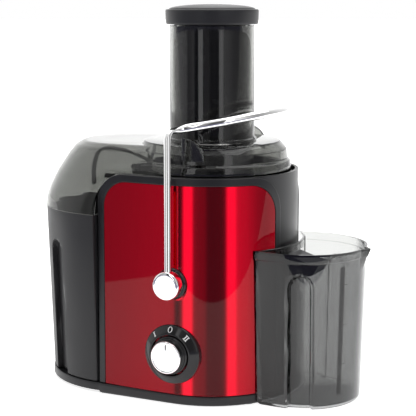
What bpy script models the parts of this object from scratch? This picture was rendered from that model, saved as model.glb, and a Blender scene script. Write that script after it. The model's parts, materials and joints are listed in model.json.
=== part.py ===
"""Centrifugal juicer: a kitchen appliance as separate parts, in metres, +Z up.

Everything is placed from the drive axis, the vertical line that the motor, basket and feed chute share.
The front of the machine faces -Y, the jug stands at +X and the pulp bin at -X.
"""

import math

import bmesh
import bpy
from mathutils import Matrix

# --- driving dimensions -------------------------------------------------------------------------
DRIVE_X = 0.006          # the drive axis, from the middle of the whole machine
GAP = 0.0003             # clearance between touching pieces
BODY_R = 0.088           # outer face of the front panel and of the base, about the drive axis
BIN_X = -0.083           # centre of the round left end, from the drive axis
BODY_LEFT = -0.081       # left edge of the front frame
FRONT_CROWN = 0.0034     # how far the front falls back at the panel's left edge
SKIN = 0.003             # wall of the fascia pieces and of the housing
BASE_LOW = 0.003
BASE_TOP = 0.010
DECK_Z = 0.127           # underside of the housing's deck, which carries the juice bowl
DECK_T = 0.003
HOUSING_TOP = 0.2156
CORNER_R = 0.028         # rounded upper left corner of the cheeks
BORDER = 0.007           # width of the black frame round the front panel
LID_TOP = 0.243
LID_R = 0.0795
PLATEAU_R = 0.073
LID_T = 0.0025
CHUTE_R = 0.0415
CHUTE_BORE = 0.0385
CHUTE_TOP = 0.3547
CHUTE_LOW = 0.178
PUSHER_R = 0.037
CAP_R = 0.0455
HEIGHT = 0.375
BIN_TOP = 0.1750
BAIL_Z = 0.1165          # height of the bail's pivot
BAIL_Y = 0.0982          # the bail's arms, each side of the drive axis
LOOP_R = 0.072
LOOP_Z = 0.259
ROD_R = 0.0033
LOOP_ROD_R = 0.0042
DIAL_Z = 0.049
JUG_X = 0.098            # centre of the jug
JUG_TOP = 0.145
JUG_TOP_R = 0.060
JUG_LOW_R = 0.0545
JUG_BACK_R = 0.0895      # hollow side of the jug, about the drive axis
JUG_T = 0.0022
SHAFT_R = 0.003
FINE = 28                # segments of the large round pieces
COARSE = 12              # segments of the small round pieces

# --- scene --------------------------------------------------------------------------------------
for old in list(bpy.data.objects):
    bpy.data.objects.remove(old, do_unlink=True)

juicer = bpy.data.collections.new("juicer")
cutters = bpy.data.collections.new("cutters")
bpy.context.scene.collection.children.link(juicer)
bpy.context.scene.collection.children.link(cutters)


def material(name, colour, roughness, metallic=0.0, alpha=1.0):
    """A Principled material for one finish."""
    made = bpy.data.materials.new(name)
    made.use_nodes = True
    shader = made.node_tree.nodes["Principled BSDF"]
    shader.inputs["Base Color"].default_value = (*colour, 1.0)
    shader.inputs["Roughness"].default_value = roughness
    shader.inputs["Metallic"].default_value = metallic
    shader.inputs["Alpha"].default_value = alpha
    made.diffuse_color = (*colour, alpha)
    return made


BLACK = material("black_plastic", (0.030, 0.030, 0.033), 0.35)
CHARCOAL = material("charcoal_plastic", (0.045, 0.045, 0.048), 0.45)
RED = material("red_panel", (0.45, 0.004, 0.020), 0.12, metallic=0.7)
SMOKY = material("smoky_plastic", (0.16, 0.16, 0.15), 0.05, alpha=0.45)
CHROME = material("chrome", (0.85, 0.85, 0.86), 0.06, metallic=1.0)
STEEL = material("steel", (0.62, 0.62, 0.60), 0.28, metallic=1.0)
COPPER = material("copper_winding", (0.60, 0.28, 0.13), 0.40, metallic=1.0)
RUBBER = material("rubber", (0.020, 0.020, 0.020), 0.85)
BOARD = material("circuit_board", (0.02, 0.14, 0.06), 0.50)
CARBON = material("carbon", (0.05, 0.05, 0.05), 0.70)


# --- helpers ------------------------------------------------------------------------------------
def empty(name, at, parent=None):
    """A joint frame: the pieces parented to it turn or slide about its origin."""
    made = bpy.data.objects.new(name, None)
    made.empty_display_size = 0.02
    made.location = at
    made.parent = parent
    juicer.objects.link(made)
    return made


def add(name, mesh, finish, parent, at=(0, 0, 0), turn=(0, 0, 0), cutter=False):
    """Link a mesh as one named piece, or as a hidden cutter."""
    made = bpy.data.objects.new(name, mesh)
    made.location = at
    made.rotation_euler = turn
    made.parent = parent
    if cutter:
        cutters.objects.link(made)
        made.hide_render = True
        made.display_type = "WIRE"
    else:
        juicer.objects.link(made)
        mesh.materials.append(finish)
    return made


def mesh_of(name, bm):
    """Turn a bmesh into a mesh that is shaded smooth between its sharp edges."""
    bmesh.ops.recalc_face_normals(bm, faces=bm.faces)
    mesh = bpy.data.meshes.new(name)
    bm.to_mesh(mesh)
    bm.free()
    mesh.shade_smooth()
    mesh.set_sharp_from_angle(angle=math.radians(35))
    return mesh


def turned(name, profile, finish, parent, at=(0, 0, 0), turn=(0, 0, 0), steps=FINE, cutter=False):
    """Turn a profile of (radius, height) points, given down its outer side, about the local Z axis."""
    bm = bmesh.new()
    points = [bm.verts.new((r, 0, z)) for r, z in profile]
    for a, b in zip(points, points[1:]):
        bm.edges.new((a, b))
    if profile[0][0] > 0:
        bm.edges.new((points[-1], points[0]))
    mesh = bpy.data.meshes.new(name)
    bm.to_mesh(mesh)
    bm.free()
    made = add(name, mesh, finish, parent, at, turn, cutter)
    screw = made.modifiers.new("turn", "SCREW")
    screw.steps = steps
    screw.render_steps = steps
    screw.use_merge_vertices = True
    screw.merge_threshold = 0.00005
    screw.use_smooth_shade = True
    return made


def ring(outer, inner, low, high):
    """The profile of a plain ring, or of a disc when inner is 0."""
    if inner == 0:
        return [(0, high), (outer, high), (outer, low), (0, low)]
    return [(outer, high), (outer, low), (inner, low), (inner, high)]


def block(name, low, high, finish, parent, cutter=False):
    """A box between two corners."""
    bm = bmesh.new()
    bmesh.ops.create_cube(bm, size=1)
    size = [b - a for a, b in zip(low, high)]
    bmesh.ops.scale(bm, vec=size, verts=bm.verts)
    middle = [(a + b) / 2 for a, b in zip(low, high)]
    return add(name, mesh_of(name, bm), finish, parent, at=middle, cutter=cutter)


def prism(name, outlines, low, high, finish, parent, cutter=False, turn=(0, 0, 0)):
    """Extrude flat outlines (the first outside, the rest holes) between two heights."""
    curve = bpy.data.curves.new(name, "CURVE")
    curve.dimensions = "2D"
    curve.fill_mode = "BOTH"
    curve.extrude = (high - low) / 2
    for outline in outlines:
        spline = curve.splines.new("POLY")
        spline.points.add(len(outline) - 1)
        for point, (x, y) in zip(spline.points, outline):
            point.co = (x, y, 0, 1)
        spline.use_cyclic_u = True
    flat = bpy.data.objects.new(name + "_outline", curve)
    cutters.objects.link(flat)
    mesh = bpy.data.meshes.new_from_object(flat.evaluated_get(bpy.context.evaluated_depsgraph_get()))
    bpy.data.objects.remove(flat)
    bm = bmesh.new()
    bm.from_mesh(mesh)
    bpy.data.meshes.remove(mesh)
    bmesh.ops.remove_doubles(bm, verts=bm.verts, dist=0.00001)
    bmesh.ops.translate(bm, verts=bm.verts, vec=(0, 0, (low + high) / 2))
    bmesh.ops.rotate(bm, verts=bm.verts, cent=(0, 0, 0), matrix=Matrix.Rotation(turn[0], 3, "X"))
    return add(name, mesh_of(name, bm), finish, parent, cutter=cutter)


def tube(name, points, radii, finish, parent, sides=2):
    """A rod along a smooth route, as a mesh, with its radius given at each point."""
    curve = bpy.data.curves.new(name, "CURVE")
    curve.dimensions = "3D"
    curve.bevel_depth = 1.0
    curve.bevel_resolution = sides
    curve.use_fill_caps = True
    spline = curve.splines.new("POLY")
    spline.points.add(len(points) - 1)
    for point, place, radius in zip(spline.points, points, radii):
        point.co = (*place, 1)
        point.radius = radius
    wire = bpy.data.objects.new(name + "_route", curve)
    cutters.objects.link(wire)
    mesh = bpy.data.meshes.new_from_object(wire.evaluated_get(bpy.context.evaluated_depsgraph_get()))
    bpy.data.objects.remove(wire)
    bm = bmesh.new()
    bm.from_mesh(mesh)
    bpy.data.meshes.remove(mesh)
    bmesh.ops.remove_doubles(bm, verts=bm.verts, dist=0.00001)
    return add(name, mesh_of(name, bm), finish, parent)


def combine(piece, others, operation="DIFFERENCE", solver="EXACT"):
    """Cut, join or intersect a piece with other objects."""
    for other in others:
        boolean = piece.modifiers.new(operation.lower(), "BOOLEAN")
        boolean.operation = operation
        boolean.solver = solver
        boolean.object = other
    return piece


def arc(centre_x, centre_y, radius, start, end, steps):
    """Points on an arc, angles in degrees."""
    angles = [math.radians(start + (end - start) * i / steps) for i in range(steps + 1)]
    return [(centre_x + radius * math.cos(a), centre_y + radius * math.sin(a)) for a in angles]


def contour(s, offset=0.0):
    """A point on the machine's front, s metres round from the drive axis, offset outwards."""
    radius = BODY_R + offset
    if s <= 0:
        fall = FRONT_CROWN * (s / BODY_LEFT) ** 2
        return s, -(radius - fall)
    angle = s / BODY_R - math.pi / 2
    return radius * math.cos(angle), radius * math.sin(angle)


def body_outline(offset, left):
    """The housing's plan: crowned front, round right side, crowned back and flat left side."""
    half = [contour(left * (1 - i / 4), offset) for i in range(4)]
    half += [contour(BODY_R * math.pi / 2 * i / (FINE // 4), offset) for i in range(FINE // 4 + 1)]
    return half + [(x, -y) for x, y in reversed(half[:-1])]


def fascia_stations(inset):
    """Stations up the left, over the top and down the right of the fascia, as (s, height)."""
    left = BODY_LEFT + inset
    right = math.radians(72) * BODY_R - inset
    top = HOUSING_TOP - inset
    corner_left = CORNER_R - inset / 2
    corner_right = CORNER_R + 0.004 - inset / 2
    low = BASE_TOP + GAP
    stations = [(left, low + (top - corner_left - low) * i / 2) for i in range(3)]
    stations += arc(left + corner_left, top - corner_left, corner_left, 180, 90, 6)[1:]
    start, end = left + corner_left, right - corner_right
    stations += [(start + (end - start) * i / 14, top) for i in range(1, 14)]
    stations += arc(right - corner_right, top - corner_right, corner_right, 90, 0, 6)
    stations += [(right, low + (top - corner_right - low) * i / 2) for i in (1, 0)]
    return stations


def wrapped(name, stations_a, stations_b, offset, thickness, finish, parent):
    """A skin between two rows of stations, bent round the front and thickened inwards."""
    bm = bmesh.new()
    rows = []
    for stations in (stations_a, stations_b):
        rows.append([bm.verts.new((*contour(s, offset), z)) for s, z in stations])
    for i in range(len(rows[0]) - 1):
        bm.faces.new((rows[0][i], rows[0][i + 1], rows[1][i + 1], rows[1][i]))
    skin = mesh_of(name, bm)
    made = add(name, skin, finish, parent)
    solidify = made.modifiers.new("thickness", "SOLIDIFY")
    solidify.thickness = thickness
    solidify.offset = -1
    return made


def racetrack(name, profile, x_left, x_right, finish, parent, steps=FINE // 2, cutter=False):
    """Sweep a profile of (radius, height) points round two half circles and the straights between."""
    bm = bmesh.new()
    points = [bm.verts.new((x_left, r, z)) for r, z in profile]
    edges = [bm.edges.new(pair) for pair in zip(points, points[1:])]
    length = x_right - x_left
    current = points + edges
    for centre, shift in ((x_left, length), (x_right, -length)):
        spun = bmesh.ops.spin(bm, geom=current, cent=(centre, 0, 0), axis=(0, 0, 1),
                              angle=math.pi, steps=steps)["geom_last"]
        last = [e for e in spun if isinstance(e, bmesh.types.BMEdge)]
        moved = bmesh.ops.extrude_edge_only(bm, edges=last)["geom"]
        verts = [v for v in moved if isinstance(v, bmesh.types.BMVert)]
        bmesh.ops.translate(bm, verts=verts, vec=(shift, 0, 0))
        current = verts + [e for e in moved if isinstance(e, bmesh.types.BMEdge)]
    bmesh.ops.remove_doubles(bm, verts=bm.verts, dist=0.00002)
    bmesh.ops.dissolve_degenerate(bm, edges=bm.edges, dist=0.00001)
    return add(name, mesh_of(name, bm), finish, parent, cutter=cutter)


FRONT = (math.radians(90), 0, 0)      # turns a local +Z axis to face the front
REAR = (math.radians(-90), 0, 0)

machine = empty("machine_frame", (DRIVE_X, 0, 0))
spin_frame = empty("spin_axis", (0, 0, 0), machine)
lid_frame = empty("lid_axis", (0, 0, 0), machine)
pusher_frame = empty("pusher_axis", (0, 0, 0), lid_frame)
bail_frame = empty("bail_axis", (0, 0, BAIL_Z), machine)
knob_frame = empty("knob_axis", (0, 0, DIAL_Z), machine)
jug_frame = empty("jug_slide", (JUG_X, 0, 0), machine)
bin_frame = empty("bin_slide", (BIN_X, 0, 0), machine)


# --- base ---------------------------------------------------------------------------------------
COVER_R = 0.070
SCREW_PLACE = 0.064
SCREW_ANGLES = (45, 135, 225, 315)


def base_and_feet():
    """The base moulding with its bin tray, the vented bottom cover, its screws and the feet."""
    outline = arc(0, 0, BODY_R, -90, 90, FINE // 2) + arc(BIN_X, 0, BODY_R, 90, 270, FINE // 2)
    tray = prism("base_tray", [outline], BASE_LOW, BASE_TOP, BLACK, machine)
    hole = turned("base_hole", ring(0.058, 0, 0, 0.02), None, machine, cutter=True)
    recess = turned("base_recess", ring(COVER_R + GAP, 0, 0, BASE_LOW + SKIN + GAP), None, machine,
                    cutter=True)
    cover = turned("bottom_cover", ring(COVER_R, 0, BASE_LOW, BASE_LOW + SKIN), BLACK, machine)
    drills = []
    for i, angle in enumerate(SCREW_ANGLES):
        x = SCREW_PLACE * math.cos(math.radians(angle))
        y = SCREW_PLACE * math.sin(math.radians(angle))
        drills.append(turned(f"screw_hole_{i}", ring(0.0016, 0, 0, 0.0095), None, machine,
                             at=(x, y, 0), steps=12, cutter=True))
        head = [(0, 0.0090), (0.0012, 0.0090), (0.0012, 0.0027), (0.003, 0.0027),
                (0.003, 0.0012), (0, 0.0012)]
        turned(f"cover_screw_{i + 1}", head, STEEL, machine, at=(x, y, 0), steps=12)
    slots = []
    for i in range(8):
        angle = math.radians(22.5 + 45 * i)
        slot = block(f"vent_{i}", (0.018, -0.003, 0), (0.050, 0.003, 0.02), None, machine, cutter=True)
        slot.location = (0.034 * math.cos(angle), 0.034 * math.sin(angle), 0.01)
        slot.rotation_euler = (0, 0, angle)
        slots.append(slot)
    combine(tray, [hole, recess] + drills)
    combine(cover, drills + slots)
    foot = [(0, 0.0027), (0.008, 0.0027), (0.0075, 0), (0, 0)]
    for i, (x, y) in enumerate(((0.060, -0.050), (0.060, 0.050), (-0.125, -0.055), (-0.125, 0.055))):
        turned(f"foot_{i + 1}", foot, RUBBER, machine, at=(x, y, 0), steps=COARSE)


# --- housing and fascia -------------------------------------------------------------------------
HOUSING_LEFT = -0.080
SPOUT_LOW = 0.117
SPOUT_TOP = 0.142
SPOUT_HALF = 0.016
PIN_R = 0.004
BEZEL_R = 0.0285


def drill(name, height, radius, side, x=0.0):
    """A cutter along Y, through the front (side -1) or the back (side 1)."""
    turn = FRONT if side < 0 else REAR
    return turned(name, ring(radius, 0, 0.055, 0.120), None, machine, at=(x, 0, height), turn=turn,
                  steps=COARSE, cutter=True)


def housing_and_fascia():
    """The motor housing, the black front frame, the red panel and the rear panel."""
    low = BASE_TOP + GAP
    outer = body_outline(-SKIN - GAP, HOUSING_LEFT)
    inner = body_outline(-2 * SKIN - GAP, HOUSING_LEFT + SKIN)
    housing = prism("motor_housing", [outer], low, HOUSING_TOP, BLACK, machine)
    room = prism("motor_room", [inner], 0, DECK_Z, None, machine, cutter=True)
    bowl_room = prism("bowl_room", [inner], DECK_Z + DECK_T, 0.25, None, machine, cutter=True)
    exit_room = block("pulp_exit", (-0.10, -0.0820, DECK_Z + DECK_T), (-0.070, 0.0820, 0.25), None,
                      machine, cutter=True)
    corner = [(-0.09, HOUSING_TOP - CORNER_R)]
    corner += arc(HOUSING_LEFT + CORNER_R, HOUSING_TOP - CORNER_R, CORNER_R, 180, 90, 6)
    corner += [(HOUSING_LEFT + CORNER_R, 0.23), (-0.09, 0.23)]
    corner_cut = prism("cheek_corner", [corner], -0.1, 0.1, None, machine, cutter=True, turn=FRONT)
    deck_hole = turned("deck_hole", ring(0.0135, 0, 0.1, 0.2), None, machine, steps=COARSE, cutter=True)
    spout_slot = block("spout_slot", (0.070, -SPOUT_HALF - 0.001, SPOUT_LOW - 0.001),
                       (0.100, SPOUT_HALF + 0.001, SPOUT_TOP + 0.002), None, machine, cutter=True)
    pins = [drill(f"pin_hole_{side}", BAIL_Z, PIN_R + 0.0004, side) for side in (-1, 1)]
    spindle_hole = drill("spindle_hole", DIAL_Z, 0.0036, -1)
    gland_hole = drill("gland_hole", 0.030, 0.0053, 1, x=-0.045)
    combine(housing, [room, bowl_room, exit_room, corner_cut, deck_hole, spout_slot, spindle_hole,
                      gland_hole] + pins)

    face = fascia_stations(BORDER)
    wrapped("front_frame", fascia_stations(0), face, 0.0005, SKIN, BLACK, machine)
    inset = fascia_stations(BORDER + GAP)
    foot = [(s, low) for s, z in inset]
    edge = 3
    panel = wrapped("front_panel", inset[edge - 1:-edge + 1], foot[edge - 1:-edge + 1], 0.0, SKIN, RED,
                    machine)
    combine(panel, [pins[0], spindle_hole])
    rear_stations = fascia_stations(0)
    rear = wrapped("rear_panel", rear_stations[edge - 1:-edge + 1],
                   [(s, low) for s, z in rear_stations][edge - 1:-edge + 1], 0.0, SKIN, BLACK, machine)
    for vertex in rear.data.vertices:
        vertex.co.y = -vertex.co.y
    rear.data.flip_normals()
    grille = [block(f"rear_vent_{i}", (-0.030, 0.0865, 0.030 + 0.009 * i), (0.030, 0.10, 0.034 + 0.009 * i),
                    None, machine, cutter=True) for i in range(5)]
    combine(rear, [pins[1], gland_hole] + grille)
    gland = [(0, 0.096), (0.0045, 0.096), (0.0065, 0.0886), (0.0065, 0.0884), (0.0050, 0.0884),
             (0.0050, 0.072), (0, 0.072)]
    turned("cord_gland", gland, RUBBER, machine, at=(-0.045, 0, 0.030), turn=REAR, steps=COARSE)


def front_room(name):
    """The space behind the fascia's face, which trims what is seated on it."""
    return prism(name, [body_outline(3 * GAP, BODY_LEFT)], 0.0, 0.21, None, machine, cutter=True)


def dial():
    """The bezel, the chrome knob on its spindle and the rotary switch behind."""
    behind = front_room("behind_bezel")
    bezel = turned("dial_bezel", [(BEZEL_R, 0.078), (0.0195, 0.078), (0.0195, 0.0945), (0.0225, 0.0945),
                                  (BEZEL_R, 0.0895)][::-1],
                   BLACK, machine, at=(0, 0, DIAL_Z), turn=FRONT)
    combine(bezel, [behind])
    knob = [(0, 0.1030), (0.0145, 0.1030), (0.0155, 0.1020), (0.0155, 0.0990), (0.0165, 0.0985),
            (0.0165, 0.0950), (0.0182, 0.0945), (0.0182, 0.0890), (0, 0.0890)]
    hole = turned("spindle_seat", ring(SHAFT_R + GAP, 0, 0.088, 0.098), None, knob_frame, turn=FRONT,
                  steps=12, cutter=True)
    combine(turned("speed_knob", knob, CHROME, knob_frame, turn=FRONT), [hole])
    turned("knob_spindle", ring(SHAFT_R, 0, 0.0785, 0.0975), STEEL, knob_frame, turn=FRONT, steps=12)
    block("speed_switch", (-0.014, -0.0780, DIAL_Z - 0.012), (0.014, -0.060, DIAL_Z + 0.012), BLACK,
          machine)


# --- bail ---------------------------------------------------------------------------------------
def bail_route():
    """Half of the bail, from its front hub up the arm, in over the lid and round the chute's side."""
    top = LOOP_Z - BAIL_Z
    bend = 0.008
    points = [(0, -BAIL_Y, 0.004), (0, -BAIL_Y, top - bend)]
    radii = [ROD_R, ROD_R]
    for i in range(1, 5):
        angle = math.radians(90 * i / 4)
        points.append((0, -BAIL_Y + bend * (1 - math.cos(angle)), top - bend + bend * math.sin(angle)))
        radii.append(ROD_R)
    points.append((0.0008, -LOOP_R - 0.009, top))
    radii.append(ROD_R)
    for i in range(11):
        angle = math.radians(-84 + 84 * i / 10)
        x = LOOP_R * math.cos(angle)
        points.append((x, LOOP_R * math.sin(angle), top + 0.2 * x))
        radii.append(LOOP_ROD_R)
    return points, radii


def bail():
    """The locking bail with its hubs, washers and pivot pins."""
    points, radii = bail_route()
    points += [(x, -y, z) for x, y, z in reversed(points[:-1])]
    radii += radii[-2::-1]
    tube("bail_rod", points, radii, CHROME, bail_frame)
    behind = front_room("behind_washers")
    for name, turn, side in (("front", FRONT, -1), ("rear", REAR, 1)):
        hub = [(0, 0.1030), (0.0125, 0.1030), (0.0134, 0.1022), (0.0134, 0.0913), (0, 0.0913)]
        made = turned(f"bail_hub_{name}", hub, CHROME, bail_frame, turn=turn, steps=COARSE + 8)
        seat = turned(f"pin_seat_{name}", ring(PIN_R + 0.0004, 0, 0.090, 0.0942), None, bail_frame,
                      turn=turn, steps=COARSE, cutter=True)
        socket = turned(f"rod_seat_{name}", ring(ROD_R + GAP, 0, 0.0036, 0.02), None, bail_frame,
                        at=(0, side * BAIL_Y, 0), steps=COARSE, cutter=True)
        combine(made, [seat, socket], solver="MANIFOLD")
        washer = turned(f"hub_washer_{name}", ring(0.0150, PIN_R + GAP, 0.080, 0.0910), BLACK, machine,
                        at=(0, 0, BAIL_Z), turn=turn, steps=COARSE + 8)
        combine(washer, [behind])
        turned(f"pivot_pin_{name}", ring(PIN_R, 0, 0.074, 0.0938), STEEL, machine, at=(0, 0, BAIL_Z),
               turn=turn, steps=COARSE)


# --- motor and drive ----------------------------------------------------------------------------
def motor():
    """The upright universal motor, its bells, bearings, brushes, board and safety switch."""
    bore = SHAFT_R + GAP
    turned("stator", ring(0.040, 0.0250, 0.048, 0.088), STEEL, machine, steps=COARSE + 8)
    turned("rotor", ring(0.0240, bore, 0.050, 0.086), COPPER, spin_frame, steps=COARSE + 8)
    turned("motor_shaft", ring(SHAFT_R, 0, 0.014, 0.150), STEEL, spin_frame, steps=12)
    turned("commutator", ring(0.0100, bore, 0.0365, 0.0497), COPPER, spin_frame, steps=COARSE)
    for i, side in enumerate((-1, 1)):
        block(f"carbon_brush_{i + 1}", (min(side * 0.0106, side * 0.0220), -0.003, 0.040),
              (max(side * 0.0106, side * 0.0220), 0.003, 0.046), CARBON, machine)
    turned("lower_bearing", ring(0.0090, SHAFT_R + 0.00005, 0.0290, 0.0350), STEEL, machine,
           steps=COARSE)
    turned("upper_bearing", ring(0.0090, SHAFT_R + 0.00005, 0.0960, 0.1020), STEEL, machine,
           steps=COARSE)
    lower_bell = [(0.0420, 0.0477), (0.0420, 0.0280), (0.0093, 0.0280), (0.0093, 0.0350),
                  (0.0390, 0.0350), (0.0390, 0.0477)]
    turned("lower_bell", lower_bell, STEEL, machine, steps=COARSE + 8)
    upper_bell = [(0.0093, 0.1020), (0.0420, 0.1020), (0.0420, 0.0883), (0.0390, 0.0883),
                  (0.0390, 0.0960), (0.0093, 0.0960)]
    turned("upper_bell", upper_bell, STEEL, machine, steps=COARSE + 8)
    plate = turned("motor_mount", ring(0.0755, 0.0120, 0.1023, 0.1053), STEEL, machine)
    combine(plate, [block("spout_relief", (0.060, -0.03, 0.09), (0.09, 0.03, 0.12), None, machine,
                          cutter=True)])
    hub = turned("cooling_fan", ring(0.0090, bore, 0.0160, 0.0270), BLACK, spin_frame, steps=COARSE)
    disc = turned("fan_disc", ring(0.0360, 0.0070, 0.0245, 0.0265), None, spin_frame, cutter=True)
    blades = []
    for i in range(6):
        blade = block(f"fan_blade_{i}", (0.0080, -0.001, 0.0165), (0.0350, 0.001, 0.0260), None,
                      spin_frame, cutter=True)
        angle = math.radians(60 * i)
        blade.location = (0.0215 * math.cos(angle), 0.0215 * math.sin(angle), 0.02125)
        blade.rotation_euler = (0, 0, angle + math.radians(15))
        blades.append(blade)
    combine(hub, [disc] + blades, "UNION", "MANIFOLD")
    turned("shaft_seal", ring(0.0130, SHAFT_R + 0.0001, DECK_Z, DECK_Z + 0.0028), RUBBER, machine,
           steps=COARSE)
    coupling = [(0, 0.1640), (0.0060, 0.1640), (0.0060, 0.1585), (0.0100, 0.1570), (0.0100, 0.1340),
                (bore, 0.1340), (bore, 0.1505), (0, 0.1505)]
    turned("drive_coupling", coupling, BLACK, spin_frame, steps=COARSE)
    block("control_board", (-0.060, 0.050, 0.020), (-0.020, 0.0516, 0.055), BOARD, machine)
    block("safety_switch", (-0.008, 0.060, 0.108), (0.008, 0.074, 0.124), BLACK, machine)


# --- juicing chamber ----------------------------------------------------------------------------
BOWL_TOP = 0.2125


def chamber():
    """The juice bowl with its spout, the filter basket and the grater disc."""
    floor = DECK_Z + DECK_T + GAP
    bowl = [(0.0788, BOWL_TOP), (0.0788, 0.1820), (0.0740, 0.1760), (0.0740, floor), (0.0115, floor),
            (0.0115, 0.1560), (0.0140, 0.1560), (0.0140, floor + 0.0030), (0.0716, floor + 0.0030),
            (0.0716, 0.1770), (0.0764, 0.1830), (0.0764, BOWL_TOP)]
    made = turned("juice_bowl", bowl, CHARCOAL, machine)
    side = [(0.0730, SPOUT_TOP), (0.1080, 0.1310), (0.1180, 0.1300), (0.1120, SPOUT_LOW + 0.003),
            (0.1000, SPOUT_LOW), (0.0850, SPOUT_LOW), (0.0800, floor + 0.001), (0.0730, floor + 0.001)]
    spout = prism("spout_block", [side], -SPOUT_HALF, SPOUT_HALF, None, machine, cutter=True, turn=FRONT)
    trough = [(0.0690, 0.1395), (0.1060, 0.1285), (0.1060, 0.110), (0.0965, 0.110), (0.0930, 0.1225),
              (0.0850, floor + 0.0045), (0.0690, floor + 0.0045)]
    channel = prism("spout_channel", [trough], -SPOUT_HALF + 0.002, SPOUT_HALF - 0.002, None, machine,
                    cutter=True, turn=FRONT)
    combine(made, [spout], "UNION", "MANIFOLD")
    combine(made, [channel], solver="MANIFOLD")
    basket = [(0.0750, 0.2070), (0.0750, 0.2050), (0.0720, 0.2050), (0.0500, 0.1645), (0.0065, 0.1645),
              (0.0065, 0.1665), (0.0485, 0.1665), (0.0705, 0.2070)]
    turned("filter_basket", basket, STEEL, spin_frame)
    disc = [(0, 0.1720), (0.0060, 0.1720), (0.0100, 0.1690), (0.0470, 0.1690), (0.0470, 0.1668),
            (0, 0.1668)]
    turned("grater_disc", disc, STEEL, spin_frame)


# --- lid and pusher -----------------------------------------------------------------------------
# radius and height of the lid's hood over the bin, down from its flat top
HOOD = ((0.0510, 0.2400), (0.0600, 0.2330), (0.0650, 0.2280), (0.0740, 0.2180), (0.0810, 0.2100),
        (0.0860, 0.2000), (0.0920, 0.1870), (0.0930, 0.1765))
LUG_R = 0.022


def lid_bulk(name, inset, cutter):
    """The lid's outer form, or, inset, the room under it."""
    top = LID_TOP - inset
    low = 0.2135 if inset == 0 else 0.19
    crown = [(0, top), (PLATEAU_R - inset, top), (PLATEAU_R - inset, 0.2300 - inset),
             (LID_R - inset, 0.2285 - inset), (LID_R - inset, low), (0, low)]
    return turned(name, crown, SMOKY, lid_frame, cutter=cutter)


def hood_bulk(name, inset):
    """The hood's outer form, or, inset, the room under it."""
    profile = [(0, HOOD[0][1] - inset)]
    profile += [(r - inset, z - inset) for r, z in HOOD[:-1]]
    low = HOOD[-1][1] if inset == 0 else HOOD[-1][1] - 0.02
    profile += [(HOOD[-1][0] - inset, low), (0, low)]
    return racetrack(name, profile, BIN_X, 0.0, None, lid_frame, steps=16, cutter=True)


def lid():
    """The clear lid: a round crown over the basket, a hood over the bin, the chute and two lugs."""
    crown = lid_bulk("lid", 0, False)
    hood = hood_bulk("hood_bulk", 0)
    hood_room = hood_bulk("hood_room", LID_T)
    right = block("hood_right", (0.0, -0.12, 0.10), (0.12, 0.12, 0.2420), None, lid_frame, cutter=True)
    sides = [block(f"cheek_room_{i}", (BODY_LEFT - 0.0006, y, 0.10), (0.02, y + 0.05, 0.2105), None,
                   lid_frame, cutter=True) for i, y in enumerate((-0.1310, 0.0810))]
    middle = block("basket_room", (-0.0775, -0.0815, 0.10), (0.02, 0.0815, 0.2135), None, lid_frame,
                   cutter=True)
    combine(hood, [right] + sides + [middle])
    combine(hood_room, [block("hood_right_room", (0.0, -0.12, 0.10), (0.12, 0.12, 0.26), None, lid_frame,
                              cutter=True)])
    chute = turned("chute_bulk", ring(CHUTE_R, 0, CHUTE_LOW, CHUTE_TOP), None, lid_frame, cutter=True)
    wall = turned("chute_wall", ring(CHUTE_R, 0, CHUTE_LOW - 0.001, LID_TOP + 0.005), None, lid_frame,
                  cutter=True)
    room = lid_bulk("crown_room", LID_T, True)
    combine(room, [wall])
    combine(hood_room, [wall])
    bore = turned("chute_bore", ring(CHUTE_BORE, 0, CHUTE_LOW - 0.01, CHUTE_TOP + 0.01), None, lid_frame,
                  cutter=True)
    lug_outline = [(0.004, 0.2300)] + arc(0.005, 0.2300, LUG_R, 0, 90, 6)
    lugs = [prism(f"lug_{i}", [lug_outline], y, y + 0.003, None, lid_frame, cutter=True, turn=FRONT)
            for i, y in enumerate((-0.0755, 0.0725))]
    combine(crown, [hood, chute] + lugs, "UNION", "MANIFOLD")
    combine(crown, [room, hood_room, bore], solver="MANIFOLD")
    turned("lid_seal", ring(0.0766, 0.0745, 0.2128, 0.2160), RUBBER, lid_frame)


def pusher():
    """The hollow pusher and its domed cap."""
    inner_r, floor = PUSHER_R - 0.003, 0.1910
    shell = [(0, floor), (inner_r, floor), (inner_r, CHUTE_TOP + GAP), (PUSHER_R, CHUTE_TOP + GAP),
             (PUSHER_R, 0.1900), (PUSHER_R - 0.002, 0.1880), (0, 0.1880)]
    turned("pusher_body", shell, BLACK, pusher_frame)
    low = CHUTE_TOP + 2 * GAP + 0.0002
    dome_r, rise = CAP_R - 0.004, HEIGHT - 0.3705
    dome = [(dome_r * math.sin(math.radians(a)), HEIGHT - rise * (1 - math.cos(math.radians(a))))
            for a in (0, 22.5, 45, 67.5, 90)]
    cap = dome + [(CAP_R - 0.0005, 0.3695), (CAP_R, 0.3680), (CAP_R - 0.0005, low), (0, low)]
    turned("pusher_cap", cap, CHARCOAL, pusher_frame)


# --- containers ---------------------------------------------------------------------------------
def groove(name, centre_r, angle, width, low, top, depth, parent):
    """A finger groove: an upright round-topped cutter at an angle round a container's wall."""
    half = width / 2
    outline = [(-half, low), (half, low)] + arc(0, top - half, half, 0, 180, 8)
    made = prism(name, [outline], centre_r - depth, centre_r + 0.02, None, parent, cutter=True)
    made.rotation_euler = (math.radians(90), 0, math.radians(angle + 90))
    return made


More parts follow.
